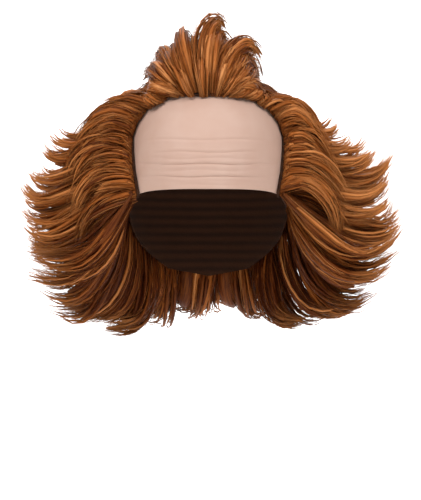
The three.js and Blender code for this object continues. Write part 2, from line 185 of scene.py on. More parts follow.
RIGHT_FAMILIES = {
    "right_waves": [
        [59, 71, 84, 114, 42, 34, -66, 24, 20],
        [66, 60, 86, 123, 30, 30, -58, 24, 20],
        [69, 44, 87, 133, 10, 24, -48, 26, 20],
        [65, 26, 87, 138, -14, 20, -58, 28, 20],
    ],
    "loop_inside": [
        [70, -2, 88, 140, -44, -2, -56, 30, 18],
    ],
    "temple_loop": [
        [57, 4, 80, 127, -51, 32, -114, 20, 18],
    ],
    "crown": CROWN_ROWS,
    "side_back": SIDE_BACK_ROWS,
    "flicks": [
        [84, 62, 92, 128, 68, -24, 72, 14, 18],
        [87, 52, 93, 147, 56, -30, 70, 18, 20],
        [89, 40, 94, 166, 46, -32, 70, 24, 24],
        [90, 26, 94, 182, 32, -34, 70, 28, 28],
        [90, 12, 93, 184, 8, -34, 66, 30, 30],
        [90, 0, 92, 191, -14, -36, 64, 30, 30],
        [92, -8, 92, 193, -32, -48, 56, 32, 30],
    ],
    "sweeps": [
        [57, -6, 88, 196, -40, -46, 54, 26, 18],
        [72, -16, 88, 188, -62, -64, 46, 34, 22],
    ],
    "under_sweeps": [
        [85, -14, 91, 180, -86, -74, 34, 36, 26],
        [102, -20, 94, 168, -104, -82, 34, 32, 30],
        [117, -36, 99, 148, -120, -84, 32, 34, 34],
        [132, -62, 112, 106, -130, -80, 16, 34, 36],
    ],
}

# Locks of the tuft over the forehead. theta and up place the root as before, theta below nought being
# to the left. launch and arrival run round from +X, as the wig is seen from the front.
TUFT_COLUMNS = ["theta", "up", "tip_x", "tip_y", "tip_up", "launch", "arrival", "width", "depth"]
TUFT_FAMILIES = {
    "fan": [
        [-25, 89, -70, -14, 90, 168, 176, 24, 24],
        [-21, 90, -61, -4, 110, 150, 130, 26, 26],
        [-16, 91, -41, 4, 127, 128, 110, 30, 26],
        [-9, 92, -19, 10, 137, 108, 94, 32, 26],
        [2, 92, 10, 10, 135, 86, 86, 32, 26],
    ],
    "hook": [
        [-1, 92, 16, -34, 151, 104, -66, 26, 20],
        [7, 92, 50, -30, 128, 80, -64, 24, 20],
    ],
    "fan_right": [
        [9, 91, 33, 4, 126, 60, 74, 30, 26],
        [14, 90, 50, -4, 110, 36, 50, 26, 26],
        [19, 89, 58, -14, 91, 14, 6, 24, 24],
    ],
    "behind": [
        [-34, 100, -46, 40, 108, 105, 110, 30, 44],
        [0, 102, 0, 56, 116, 90, 90, 30, 50],
        [34, 100, 44, 40, 108, 75, 70, 30, 44],
    ],
}

# Locks of the back, a row for each weft, count of them spread evenly about the middle.
WEFT_COLUMNS = ["count", "up", "tip_out", "tip_up", "launch", "arrival", "width", "depth"]
BACK_LOCK_STEP = 28.0
BACK_WEFTS = [
    [2, 102, 122, 82, 20, 6, 34, 62],
    [3, 66, 158, 34, 8, 38, 38, 66],
    [4, 24, 174, -14, -14, 40, 40, 70],
    [3, -20, 166, -66, -44, 34, 40, 70],
    [4, -62, 134, -122, -74, 18, 52, 60],
]

# Traits of each family of locks. root_share and tip_share are how full a lock is at its ends, and pull is
# how far launch and arrival bend it. between is the share of its clumps that lie on the way to the next
# lock. painted_shade draws its tones to the dark end as painted shade, or between nought and -1 to the
# light end as painted light, and stray scales how far its clumps stray. In the tuft, lean is how far back
# the locks stand for their rise, and curl how much their tips rise for the way back.
FAMILY_COLUMNS = ["root_share", "tip_share", "pull", "between", "painted_shade", "stray", "lean", "curl"]
# Tones drawn to the dark end are painted shade, for hair in the shade of the head or of other hair, most of
# all the under sweeps by the face and the inside of the temple loop. Tones drawn to the light end, below
# nought, are painted light, as on the flicks, the temple loop's rim and the waves of the right side.
FAMILY_TRAITS = {
    "waves": [0.6, 0.45, 0.42, 0.05, 0.0, 0.65, 0.0, 0.0],
    "right_waves": [0.6, 0.45, 0.42, 0.05, -0.65, 0.65, 0.0, 0.0],
    "crown": [0.6, 0.4, 0.42, 0.6, 0.3, 1.2, 0.0, 0.0],
    "side_back": [0.6, 0.3, 0.42, 0.6, 0.8, 2.0, 0.0, 0.0],
    "loop_inside": [0.6, 0.45, 0.42, 0.0, 3.0, 0.65, 0.0, 0.0],
    "temple_loop": [0.6, 0.4, 0.42, 0.0, -0.7, 0.3, 0.0, 0.0],
    "left_flicks": [0.6, 0.3, 0.42, 0.85, -0.4, 1.0, 0.0, 0.0],
    "flicks": [0.6, 0.2, 0.42, 0.65, -0.94, 1.0, 0.0, 0.0],
    "left_sweeps": [0.6, 0.15, 0.52, 0.7, 2.6, 0.9, 0.0, 0.0],
    "sweeps": [0.6, 0.15, 0.52, 0.7, 0.8, 0.9, 0.0, 0.0],
    "under_sweeps": [0.6, 0.15, 0.52, 0.9, 8.0, 1.0, 0.0, 0.0],
    "fan": [0.35, 0.7, 0.52, 0.3, 0.15, 0.8, 0.25, -0.3],
    "hook": [0.45, 0.4, 0.52, 0.0, 0.1, 0.8, 0.25, 4.0],
    "fan_right": [0.35, 0.7, 0.52, 0.3, 0.15, 0.8, 0.25, -0.3],
    "behind": [0.5, 0.7, 0.52, 0.4, 0.5, 1.5, 1.0, 0.0],
    "wefts": [0.6, 0.2, 0.42, 0.7, 0.8, 1.3, 0.0, 0.0],
    "edge": [0.8, 0.8, 0.42, 0.3, 0.0, 1.0, 0.0, 0.0],
}

# Hair of three kinds: a core in each lock, flat wisps that make the smooth surface of its clumps, and
# single strands over them. points is how many rings a hair has, and sides how many corners a ring has.
# Sizes are millimetres at the middle, and start is the share of them at the root. A core takes share of
# its lock's size and stops at end of its length. inner and outer say how far out in its clump a hair
# lies, length its part of the clump's length, short how much of that may be missing, and looks the span
# of tones that it comes in.
CORE = {"points": 12, "sides": 16, "share": 0.45, "start": 0.45, "end": 0.75}
WISP = {
    "points": 10, "sides": 4, "width": 5.0, "thickness": 1.2, "start": 0.4,
    "inner": 0.4, "outer": 0.85, "length": 1.0, "short": 0.12, "looks": (0.15, 0.85),
}
STRAND = {
    "points": 8, "sides": 3, "width": 0.6, "thickness": 0.4, "start": 1.0,
    "inner": 0.75, "outer": 1.2, "length": 1.07, "short": 0.16, "looks": (0.0, 1.0),
}

# A hair has its full size SWOLLEN_BY of the way from its root, and its taper sets in late.
SWOLLEN_BY = 0.3
TAPER_POWER = 2.5

# For each group of hair: how many clumps a lock has and their share of its size, how far hairs gather to
# the middle of their clump at the tip, how blunt their tips are, how much lighter (or below nought how
# much darker) they get from root to tip, which in the tuft paints a sheen at its base, and how many wisps
# and strands there are.
HAIR_COLUMNS = ["clumps", "clump_share", "gather", "bluntness", "fade", "wisps", "strands"]
HAIR_COUNTS = {
    "left": [6, 0.52, 0.35, 0.1, 0.0, 1500, 3000],
    "right": [6, 0.52, 0.5, 0.1, 0.0, 1500, 3000],
    "tuft": [7, 0.55, 0.2, 0.2, -0.4, 1500, 2200],
    "back": [16, 0.36, 0.5, 0.15, 0.0, 1500, 1300],
}

# A clump lies between these shares of the way out in its lock, and may be CLUMP_SHORT shorter.
CLUMP_INNER = 0.3
CLUMP_OUTER = 0.62
CLUMP_SHORT = 0.07

# Roots are drawn down to the head, which wears off over ROOT_HOLD of the way. A hair that starts lower
# than the rest is up with them after ROOT_LIFT of it.
ROOT_HOLD = 0.28
ROOT_LIFT = 0.12

# A hair in the very middle of its clump lies flat along the lock's width, by this much of it.
MIDDLE_TURN = 1e-3

# How far a clump strays from its lock, as spreads in degrees or millimetres. A hair strays HAIR_STRAY as
# far from its clump.
HAIR_STRAY = 0.4
STRAYING = [
    ("theta", 1.5),
    ("up", 2.0),
    ("tip_theta", 4.0),
    ("tip_out", 4.0),
    ("tip_x", 3.0),
    ("tip_y", 4.0),
    ("tip_up", 4.0),
    ("launch", 3.0),
    ("arrival", 7.0),
]

# A close row of small locks along the edge of the bald front, EDGE_TURN degrees from its hairline and cut
# short at EDGE_REACH of their length, so that the waves show.
EDGE_LOCKS = 48
EDGE_TURN = -4.0
EDGE_START = 2.7
EDGE_LOW = -6.0
EDGE_HIGH = 78.0
EDGE_WIDTH = 7.0
EDGE_DEPTH = 5.0
EDGE_REACH = 0.5
TUFT_EDGE_REACH = 0.9
TUFT_EDGE_HALF = 54.0
TUFT_EDGE_LIFT = 0.6

# Hair within NEAR_HEAD of the skin keeps off the bald front. From NEAR_FLOOR up to NEAR_TOP it moves
# aside, and above that it moves up. Below HAIRLINE_FLOOR the hairline goes straight down.
NEAR_HEAD = ROOT_OUTSIDE + 4
NEAR_TOP = PANEL_TOP - 3
NEAR_FLOOR = -12
HAIRLINE_FLOOR = -7

# Hairs come in this many looks. Each has its own tone and streaks, and its own strip of the bake's map.
# The streaks are a pattern that lies LOOK_DRIFT millimetres further on for each look, and it runs on by
# STREAK_ALONG from root to tip. A tone is that of a hair's middle, TONE_MIDDLE of the way. Hair rooted
# behind the ears, over REAR_SPAN degrees, is drawn darker, as painted shade for the shade of the head and
# of the hair over it.
HAIR_LOOKS = 96
LOOK_TONE = np.linspace(-0.02, 0.9, HAIR_LOOKS)
LOOK_DRIFT = 40.0
STREAK_ALONG = 4.0
TONE_MIDDLE = 0.5
REAR_SPAN = (95, 130)
REAR_PAINTED_SHADE = 1.5

# Tone of the cores, painted dark as the shade inside a lock, and lighter in families painted light.
CORE_SHADE_TONE = 0.1
CORE_PAINTED_LIGHTENING = 0.6

# A strip of the map has a margin on either side, and at either end room for a ring, the hair's end.
STRIP_MARGIN = 0.12
STRIP_END = 0.03
END_MIDDLE = 0.5
END_RADIUS = 0.4

# Scales of the patterns over coordinates in metres, with the size of one blotch, cell or row.
LATEX_BLOTCH_SCALE = 40.0  # 25 mm
LATEX_GRAIN_SCALE = 900.0  # 1.1 mm
NET_WEFT_SCALE = 35.0  # 9 mm
NET_MESH_SCALE = 520.0  # 1.9 mm
PAPER_FLECK_SCALE = 30.0  # 33 mm

# The comb attribute is in millimetres across the hair, so this makes streaks a millimetre wide.
STREAK_SCALE = 1.0

# The camera and the floor in millimetres, how far the camera sees in metres.
CAMERA_PLACE = (2.5, -1900.0, -61.0)
CAMERA_LENS = 136.8
CAMERA_RANGE = 20.0
FLOOR_UP = -420.0

# The backdrop in metres: a square floor that bends up at the back into a wall. It glows a little behind
# the wig, from BACKDROP_DIM back to BACKDROP_BRIGHT.
BACKDROP_SIZE = 6.0
BACKDROP_HEIGHT = 4.0
BACKDROP_BEND = 1.2
BACKDROP_BEND_STEPS = 16
BACKDROP_GLOW = 0.8
BACKDROP_DIM = 0.3
BACKDROP_BRIGHT = 0.8

# Soft boxes that face the wig: name, place and size in metres, power in watts.
WORLD_STRENGTH = 0.26
LIGHTS = [
    ("key", (1.6, -1.6, 1.8), 1.4, 57),
    ("fill", (-1.7, -1.4, 1.7), 1.4, 57),
    ("front", (0.3, -2.2, 1.3), 1.2, 6),
    ("top", (0.0, 0.5, 1.7), 1.0, 15),
]


def linear(hex_colour):
    """An sRGB hex colour as linear red, green, blue and alpha."""
    parts = [int(hex_colour[i : i + 2], 16) / 255 for i in (1, 3, 5)]
    return tuple(p / 12.92 if p <= 0.04045 else ((p + 0.055) / 1.055) ** 2.4 for p in parts) + (1.0,)


def add_node(material, kind, inputs=None, **settings):
    """Adds a node to a material, with its settings, and its inputs as values or as links."""
    made = material.node_tree.nodes.new(kind)
    for name, value in settings.items():
        setattr(made, name, value)
    for socket, value in (inputs or {}).items():
        if isinstance(value, bpy.types.NodeSocket):
            material.node_tree.links.new(value, made.inputs[socket])
        else:
            made.inputs[socket].default_value = value
    return made


def new_material(name):
    """A material without nodes."""
    material = bpy.data.materials.new(name)
    material.use_nodes = True
    material.node_tree.nodes.clear()
    return material


def finish_material(material, shader):
    """Ends a material with its shader."""
    output = add_node(material, "ShaderNodeOutputMaterial", {"Surface": shader.outputs["BSDF"]})
    output.is_active_output = True
    return material


def smoothstep(value, low, high):
    """Rises smoothly from 0 at low to 1 at high."""
    share = np.clip((value - low) / (high - low), 0, 1)
    return share * share * (3 - 2 * share)


def dome_share(level, fullness):
    """How wide a dome still is at a level from 0 at its foot to 1 at its top."""
    return np.power(1 - np.power(level, fullness), 1 / fullness)


def head_point(theta, up, offset):
    """Points on the head, theta round from the front, offset outwards from the skin."""
    theta, up, offset = np.broadcast_arrays(theta, up, offset)
    level = np.clip(up / CROWN_HEIGHT, 0, 1)
    narrowing = 1 - NECK_NARROWING * smoothstep(-up, 0, NECK_DEPTH)
    breadth = (HEAD_HALF_BREADTH + offset) * narrowing * dome_share(level, FRONT_FULLNESS)
    length = (HEAD_HALF_LENGTH + offset) * narrowing * dome_share(level, SIDE_FULLNESS)
    return np.stack([breadth * np.sin(theta), -length * np.cos(theta), up + offset * level], axis=-1)


def hairline_theta(up):
    """Half the angle that the bald front takes at a height."""
    breadth = HEAD_HALF_BREADTH * dome_share(np.clip(up / CROWN_HEIGHT, 0, 1), FRONT_FULLNESS)
    return np.arcsin(np.clip(np.interp(up, HAIRLINE_UP, HAIRLINE_HALF) / breadth, 0, 1))


def forehead_top(across):
    """How high hair starts over the forehead, at a distance from its middle."""
    upper = slice(None, HAIRLINE_WIDEST, -1)
    edge = np.interp(np.abs(across), HAIRLINE_HALF[upper], HAIRLINE_UP[upper])
    return np.minimum(edge, PANEL_TOP) + TUFT_EDGE_LIFT


def head_share(points, offset):
    """How far out points lie as a share of the way to the head's surface, grown by offset."""
    x = points[..., 0] / (HEAD_HALF_BREADTH + offset)
    y = points[..., 1] / (HEAD_HALF_LENGTH + offset)
    up = points[..., 2]
    round_square = x * x + y * y
    fullness = SIDE_FULLNESS + (FRONT_FULLNESS - SIDE_FULLNESS) * x * x / np.maximum(round_square, TINY)
    dome = np.power(round_square, fullness / 2)
    dome = dome + np.power(np.maximum(up, 0) / (CROWN_HEIGHT + offset), fullness)
    narrowing = 1 - NECK_NARROWING * smoothstep(-up, 0, NECK_DEPTH)
    return np.where(up > 0, np.power(dome, 1 / fullness), np.sqrt(round_square) / narrowing)


def onto_head(points, offset):
    """Points moved straight out or in to the head's surface, grown by offset."""
    share = np.maximum(head_share(points, offset), TINY)[..., None]
    moved = points / share
    moved[..., 2] = np.where(points[..., 2] > 0, moved[..., 2], points[..., 2])
    return moved


def deselect_all():
    """Leaves edit mode, with nothing selected."""
    if bpy.context.object and bpy.context.object.mode != "OBJECT":
        bpy.ops.object.mode_set(mode="OBJECT")
    bpy.ops.object.select_all(action="DESELECT")


def new_object(name):
    """The primitive that was just added, named."""
    made = bpy.context.object
    made.name = name
    made.data.name = name
    return made


def vertices_of(piece):
    """A piece's vertices, a row for each."""
    flat = np.empty(len(piece.data.vertices) * 3)
    piece.data.vertices.foreach_get("co", flat)
    return flat.reshape(-1, 3)


def move_vertices(piece, places):
    """Puts a piece's vertices at places given in millimetres."""
    piece.data.vertices.foreach_set("co", (places * MM).ravel())
    piece.data.update()


def select_only(piece):
    """Makes a piece the one that the next steps work on."""
    deselect_all()
    bpy.context.view_layer.objects.active = piece
    piece.select_set(True)


def apply_modifier(piece, kind, **settings):
    """Puts a modifier on a piece and applies it."""
    select_only(piece)
    modifier = piece.modifiers.new(kind.lower(), kind)
    for name, value in settings.items():
        setattr(modifier, name, value)
    bpy.ops.object.modifier_apply(modifier=modifier.name)


def cut_away(piece, cutter):
    """Cuts one piece out of another and takes the cutter away."""
    apply_modifier(piece, "BOOLEAN", object=cutter, operation="DIFFERENCE", solver="EXACT")
    bpy.data.objects.remove(cutter)


def shade_smooth(piece, degrees):
    """Shades a piece smooth, apart from edges sharper than an angle."""
    select_only(piece)
    bpy.ops.object.shade_smooth_by_angle(angle=math.radians(degrees))


def dress(piece, node_names, material):
    """Gives a finished piece its material and ties it to the solids that it stands for."""
    piece.data.materials.clear()
    piece.data.materials.append(material)
    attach(piece, "root")
    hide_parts(*node_names)
    return piece


def head_form(name, offset):
    """A ball drawn out into the head and neck, grown outwards by offset."""
    deselect_all()
    bpy.ops.mesh.primitive_uv_sphere_add(segments=FORM_SEGMENTS, ring_count=FORM_RINGS, radius=1)
    form = new_object(name)
    ball = vertices_of(form)
    spread = 2 / ((FRONT_FULLNESS + SIDE_FULLNESS) / 2)
    rise = np.power(np.maximum(ball[:, 2], 0), spread) * CROWN_HEIGHT
    up = np.where(ball[:, 2] > 0, rise, ball[:, 2] * FORM_DEPTH)
    places = head_point(np.arctan2(ball[:, 0], -ball[:, 1]), up, offset)
    places[ball[:, 2] < FORM_BOTTOM] = (0, 0, -FORM_DEPTH)
    move_vertices(form, places)
    return form


def front_opening(setback):
    """A block that follows the bald front's outline, to cut through the walls."""
    deselect_all()
    bpy.ops.mesh.primitive_cube_add(size=2)
    block = new_object("front_opening")
    bpy.ops.object.mode_set(mode="EDIT")
    bpy.ops.mesh.subdivide(number_cuts=OPENING["cuts"])
    bpy.ops.object.mode_set(mode="OBJECT")
    cube = vertices_of(block)
    up = OPENING["floor"] + (PANEL_TOP - OPENING["floor"]) * (cube[:, 2] + 1) / 2
    theta = cube[:, 0] * (hairline_theta(up) + setback / HEAD_HALF_BREADTH)
    lift = setback * smoothstep(up, 0, PANEL_TOP)
    offset = OPENING["inside"] + (OPENING["outside"] - OPENING["inside"]) * (1 - cube[:, 1]) / 2
    move_vertices(block, head_point(theta, up + lift, offset))
    return block


def below_rim(setback):
    """A ring that takes away everything below the cap's rim."""
    deselect_all()
    middle, half = (RIM_OUTER + RIM_INNER) / 2, (RIM_OUTER - RIM_INNER) / 2
    bpy.ops.mesh.primitive_torus_add(
        major_segments=FORM_SEGMENTS, minor_segments=4, major_radius=middle, minor_radius=half
    )
    ring = new_object("below_rim")
    torus = vertices_of(ring)
    theta = np.arctan2(torus[:, 0], -torus[:, 1])
    reach = np.hypot(torus[:, 0], torus[:, 1])
    top = np.interp(np.degrees(np.abs(theta)), RIM_THETA, RIM_UP) + setback
    is_high, is_low, is_far = torus[:, 2] > half / 2, torus[:, 2] < -half / 2, reach > middle
    at_top = is_high | (~is_low & ~is_far)
    at_outside = is_high | (~is_low & is_far)
    radius = np.where(at_outside, RIM_OUTER, RIM_INNER)
    up = np.where(at_top, top, RIM_FLOOR)
    move_vertices(ring, np.stack([radius * np.sin(theta), -radius * np.cos(theta), up], axis=-1))
    return ring


def delete_below(piece, up):
    """Takes away the loose plug that the ring leaves in its middle."""
    deselect_all()
    bpy.context.view_layer.objects.active = piece
    bpy.ops.object.mode_set(mode="EDIT")
    bpy.ops.mesh.select_mode(type="VERT")
    bpy.ops.mesh.select_all(action="DESELECT")
    bpy.ops.object.mode_set(mode="OBJECT")
    for vertex in piece.data.vertices:
        vertex.select = vertex.co.z < up * MM
    bpy.ops.object.mode_set(mode="EDIT")
    bpy.ops.mesh.delete(type="VERT")
    bpy.ops.object.mode_set(mode="OBJECT")


def covered_wall(name, inside, outside, setback):
    """The part of a head-shaped wall outside the bald front and above the rim."""
    wall = head_form(name, outside)
    cut_away(wall, head_form("hollow", inside))
    cut_away(wall, front_opening(setback))
    cut_away(wall, below_rim(setback))
    delete_below(wall, RIM_CLEAR)
    shade_smooth(wall, WALL_SMOOTHING)
    return wall


def crease_relief(across, up):
    """How far the latex is drawn in at its creases, with a low lip on either side."""
    relief = np.zeros_like(up)
    for row in CREASES:
        crease = dict(zip(CREASE_COLUMNS, row))
        line = crease["up"] + CREASE_SAG * (across**2 - CREASE_LEVEL)
        line = line + crease["wander"] * np.sin(CREASE_WAVES * across + crease["phase"])
        away = (up - line) / CREASE_HALF_WIDTH
        fade = np.clip(1 - (across / crease["span"]) ** 2, 0, 1)
        lip = CREASE_LIP * np.exp(-((np.abs(away) - CREASE_LIP_AWAY) ** 2))
        relief += crease["depth"] * fade * (np.exp(-(away**2)) - lip)
    return relief


def latex_forehead(material):
    """The bald front: a grid laid on the head, creased and given its thickness."""
    deselect_all()
    bpy.ops.mesh.primitive_grid_add(x_subdivisions=PANEL_COLUMNS, y_subdivisions=PANEL_ROWS, size=2)
    panel = new_object("latex_forehead")
    grid = vertices_of(panel)
    across = grid[:, 0]
    row = PANEL_BOTTOM + (PANEL_TOP + PANEL_LAP_UP - PANEL_BOTTOM) * (grid[:, 1] + 1) / 2
    up = row - PANEL_CORNER_DROP * across**4 * smoothstep(-row, -PANEL_CORNER_UP, 0)
    theta = across * (hairline_theta(row) + math.radians(PANEL_LAP_DEGREES))
    move_vertices(panel, head_point(theta, up, -crease_relief(across, up)))
    apply_modifier(panel, "SOLIDIFY", thickness=LATEX_WALL * MM, offset=1.0)
    shade_smooth(panel, LATEX_SMOOTHING)
    return dress(panel, ["bald_front"], material)


def net_cap(material):
    """The hollow cap that the hair is sewn to."""
    cap = covered_wall("net_cap", CAP_INSIDE, CAP_OUTSIDE, 0)
    return dress(cap, ["wig_cap"], material)


def hair_roots(material):
    """The layer of hair roots, which hides the cap between the locks, dark with the fibre's painted root
    shade.
    """
    roots = covered_wall("hair_roots", ROOT_INSIDE, ROOT_OUTSIDE, ROOT_SETBACK)
    return dress(roots, ["hair_tuft", "hair_left", "hair_right", "hair_back"], material)


def traits_of(family, count):
    """The traits of a family, an array of each for all its locks."""
    return {name: np.full(count, value) for name, value in zip(FAMILY_COLUMNS, FAMILY_TRAITS[family])}


def family_of(family, columns, rows):
    """A family of locks as an array for each named column."""
    made = {name: np.array([row[i] for row in rows], float) for i, name in enumerate(columns)}
    return {**made, **traits_of(family, len(rows))}


def back_family(weft_row):
    """The locks of one weft of the back."""
    weft = dict(zip(WEFT_COLUMNS, weft_row))
    count = weft.pop("count")
    theta = 180 + (np.arange(count) - (count - 1) / 2) * BACK_LOCK_STEP
    family = {name: np.full(count, float(value)) for name, value in weft.items()}
    return {**family, **traits_of("wefts", count), "theta": theta, "tip_theta": theta}


def edge_family(waves):
    """The row along one side of the bald front, combed the way that side's waves go."""
    order = np.argsort(waves["up"])
    up = np.linspace(EDGE_LOW, EDGE_HIGH, EDGE_LOCKS)
    row = {name: np.interp(up, waves["up"][order], column[order]) for name, column in waves.items()}
    return {**row, **edge_traits(), "up": up, "theta": np.degrees(hairline_theta(up)) + EDGE_TURN}


def tuft_edge_family(fan):
    """The row over the forehead, fanned out as the tuft is."""
    across = np.linspace(-TUFT_EDGE_HALF, TUFT_EDGE_HALF, EDGE_LOCKS)
    up = forehead_top(across)
    breadth = HEAD_HALF_BREADTH * dome_share(up / CROWN_HEIGHT, FRONT_FULLNESS)
    theta = np.degrees(np.arcsin(np.clip(across / breadth, -1, 1)))
    row = {name: np.interp(theta, fan["theta"], column) for name, column in fan.items()}
    reach = np.full(EDGE_LOCKS, TUFT_EDGE_REACH)
    return {**row, **edge_traits(), "up": up, "theta": theta, "reach": reach}


def edge_traits():
    """What all locks of an edge row share."""
    same = {"width": EDGE_WIDTH, "depth": EDGE_DEPTH, "reach": EDGE_REACH, "start": EDGE_START}
    filled = {name: np.full(EDGE_LOCKS, size) for name, size in same.items()}
    return {**filled, **traits_of("edge", EDGE_LOCKS)}


def clumps_of(rows, clumps, clump_share):
    """Splits each lock in clumps that stray a little from it, each at its own spot across the lock."""
    locks = len(rows["width"])
    lock = np.repeat(np.arange(locks), clumps)
    order = np.tile(np.arange(clumps), locks)
    ahead = (order + RNG.random(len(lock))) / np.maximum(clumps * rows["between"][lock], TINY)
    share = np.where(ahead < 1, ahead, 0)
    neighbour = np.minimum(lock + 1, locks - 1)
    made = {name: (1 - share) * column[lock] + share * column[neighbour] for name, column in rows.items()}
    for name, spread in STRAYING:
        if name in made:
            made[name] = made[name] + RNG.normal(0, spread, len(lock)) * rows["stray"][lock]
    turn = order * 2 * math.pi / clumps + RNG.random(len(lock))
    out = RNG.uniform(CLUMP_INNER, CLUMP_OUTER, len(lock)) * (clumps > 1)
    spots = {
        "spot_wide": out * np.cos(turn) * made["width"] / 2,
        "spot_deep": out * np.sin(turn) * made["depth"] / 2,
        "reach": made.get("reach", np.ones(len(lock))) * (1 - CLUMP_SHORT * RNG.random(len(lock))),
        "start": made.get("start", np.full(len(lock), HAIR_START)),
        "width": made["width"] * clump_share,
        "depth": made["depth"] * clump_share,
    }
    return {**made, **spots}


def unit(vectors):
    """Vectors of length 1."""
    return vectors / np.maximum(np.linalg.norm(vectors, axis=-1, keepdims=True), TINY)


def oval(sides):
    """Corners of an oval of half size 1, the first at its top."""
    turn = math.pi / 2 + np.arange(sides) * 2 * math.pi / sides
    return np.stack([np.cos(turn), np.sin(turn)], axis=-1)


def hair_section(kind):
    """Corners of a hair's section, in millimetres across and through it."""
    return oval(kind["sides"]) * (kind["width"] / 2, kind["thickness"] / 2)


def swept_guides(rows, side):
    """Root, tip, level heading, and rise at either end, of locks of a side or of the back."""
    root = head_point(side * np.radians(rows["theta"]), rows["up"], LOCK_START)
    turn = side * np.radians(rows["tip_theta"])
    tip_x, tip_y = rows["tip_out"] * np.sin(turn), -rows["tip_out"] * np.cos(turn)
    tip = np.stack([tip_x, tip_y, rows["tip_up"]], axis=-1)
    heading = unit((tip - root) * (1, 1, 0))
    rise = np.broadcast_to(np.array([0.0, 0.0, 1.0]), root.shape)
    return root, tip, heading, rise, rise


def tuft_guides(rows, side):
    """The same for locks of the tuft, which stand up and then curl back."""
    root = head_point(side * np.radians(rows["theta"]), rows["up"], LOCK_START)
    tip = np.stack([rows["tip_x"], rows["tip_y"], rows["tip_up"]], axis=-1)
    heading = np.broadcast_to(np.array([1.0, 0.0, 0.0]), root.shape)
    none, one = np.zeros(len(root)), np.ones(len(root))
    rise = unit(np.stack([none, rows["lean"], one], axis=-1))
    curl = unit(np.stack([none, one, rows["curl"]], axis=-1))
    return root, tip, heading, rise, curl


def lock_swell(place, rows):
    """How full locks are along their length, as a share of their size."""
    root_share, tip_share = rows["root_share"][:, None], rows["tip_share"][:, None]
    swelling = root_share + (1 - root_share) * np.sin(np.clip(place / LOCK_BELLY, 0, 1) * math.pi / 2)
    past = np.clip((place - LOCK_BELLY) / (1 - LOCK_BELLY), 0, 1)
    thinning = 1 - (1 - tip_share) * np.power(past, LOCK_POINT_POWER)
    return np.where(place < LOCK_BELLY, swelling, thinning)


def comb_lines(rows, guides, place):
    """Points along the locks, with the directions across each lock's width and depth."""
    root, tip, heading, rise, curl = guides
    reach = rows["pull"][:, None] * np.linalg.norm(tip - root, axis=-1, keepdims=True)
    launch, arrival = np.radians(rows["launch"])[:, None], np.radians(rows["arrival"])[:, None]
    leaving = root + reach * (heading * np.cos(launch) + rise * np.sin(launch))
    arriving = tip - reach * (heading * np.cos(arrival) + curl * np.sin(arrival))
    t = place[..., None]
    s = 1 - t
    a, b, c, d = (p[:, None, :] for p in (root, leaving, arriving, tip))
    points = s**3 * a + 3 * s * s * t * b + 3 * s * t * t * c + t**3 * d
    tangent = unit(s * s * (b - a) + 2 * s * t * (c - b) + t * t * (d - c))
    across = np.cross(heading, rise)[:, None, :]
    wide = unit(np.cross(np.broadcast_to(across, tangent.shape), tangent))
    return points, tangent, wide, np.cross(wide, tangent)


def hair_mesh(name, rings, look, tone, fade, section, end):
    """Closed hairs joined in one mesh, with what their colour goes by.

    rings is hair by point by corner, and section each hair's corners laid flat. tone is that of a hair's
    middle, and changes by fade from root to tip. end is how much of their lock's length they take.
    """
    hairs, points, sides = rings.shape[:3]
    index = np.arange(hairs * points * sides).reshape(hairs, points, sides)
    following = np.roll(index, -1, axis=2)
    walls = np.stack([index[:, :-1], index[:, 1:], following[:, 1:], following[:, :-1]], axis=-1)
    faces = walls.reshape(-1, 4).tolist() + index[:, 0].tolist() + index[:, -1, ::-1].tolist()
    mesh = bpy.data.meshes.new(name)
    mesh.from_pydata((rings.reshape(-1, 3) * MM).tolist(), [], faces)
    mesh.shade_smooth()

    along = np.broadcast_to(np.linspace(0, end, points)[:, None], (hairs, points, sides))
    drift = look[:, None, None] * LOOK_DRIFT + along * STREAK_ALONG
    comb = np.stack(np.broadcast_arrays(section[:, None, :, 0], section[:, None, :, 1], drift), axis=-1)
    for attribute, kind, key, values in [
        ("tone", "FLOAT", "value", tone[:, None, None] + fade * (along - TONE_MIDDLE)),
        ("along", "FLOAT", "value", along),
        ("comb", "FLOAT_VECTOR", "vector", comb),
    ]:
        layer = mesh.attributes.new(attribute, kind, "POINT")
        layer.data.foreach_set(key, np.ascontiguousarray(values, np.float32).ravel())
    bake_map(mesh, hairs, points, sides, look)
    piece = bpy.data.objects.new(name, mesh)
    bpy.context.scene.collection.objects.link(piece)
    return piece


def bake_map(mesh, hairs, points, sides, look):
    """Lays hairs of one look on one strip: round the hair across it, root to tip along it."""
    corner, step = np.arange(sides), np.arange(points - 1)
    across = np.stack([corner, corner, corner + 1, corner + 1], axis=-1) / sides
    along = np.stack([step, step + 1, step + 1, step], axis=-1) / (points - 1)
    wall = np.stack(np.broadcast_arrays(across[None], along[:, None]), axis=-1)
    wall[..., 1] = STRIP_END + (1 - 2 * STRIP_END) * wall[..., 1]
    turn = corner * 2 * math.pi / sides
    ring = END_MIDDLE + END_RADIUS * np.stack([np.cos(turn), np.sin(turn)], axis=-1)
    ring[:, 1] = STRIP_END * ring[:, 1]
    root, tip = ring, ring[::-1] + (0, 1 - STRIP_END)
    flat = []
    for shape in (wall.reshape(-1, 2), root, tip):
        strip = np.broadcast_to(shape, (hairs, *shape.shape)).copy()
        inside = STRIP_MARGIN + (1 - 2 * STRIP_MARGIN) * strip[..., 0]
        strip[..., 0] = (look[:, None] + inside) / HAIR_LOOKS
        flat.append(strip.reshape(-1, 2))
    layer = mesh.uv_layers.new(name="OFBake")
    layer.uv.foreach_set("vector", np.concatenate(flat).astype(np.float32).ravel())


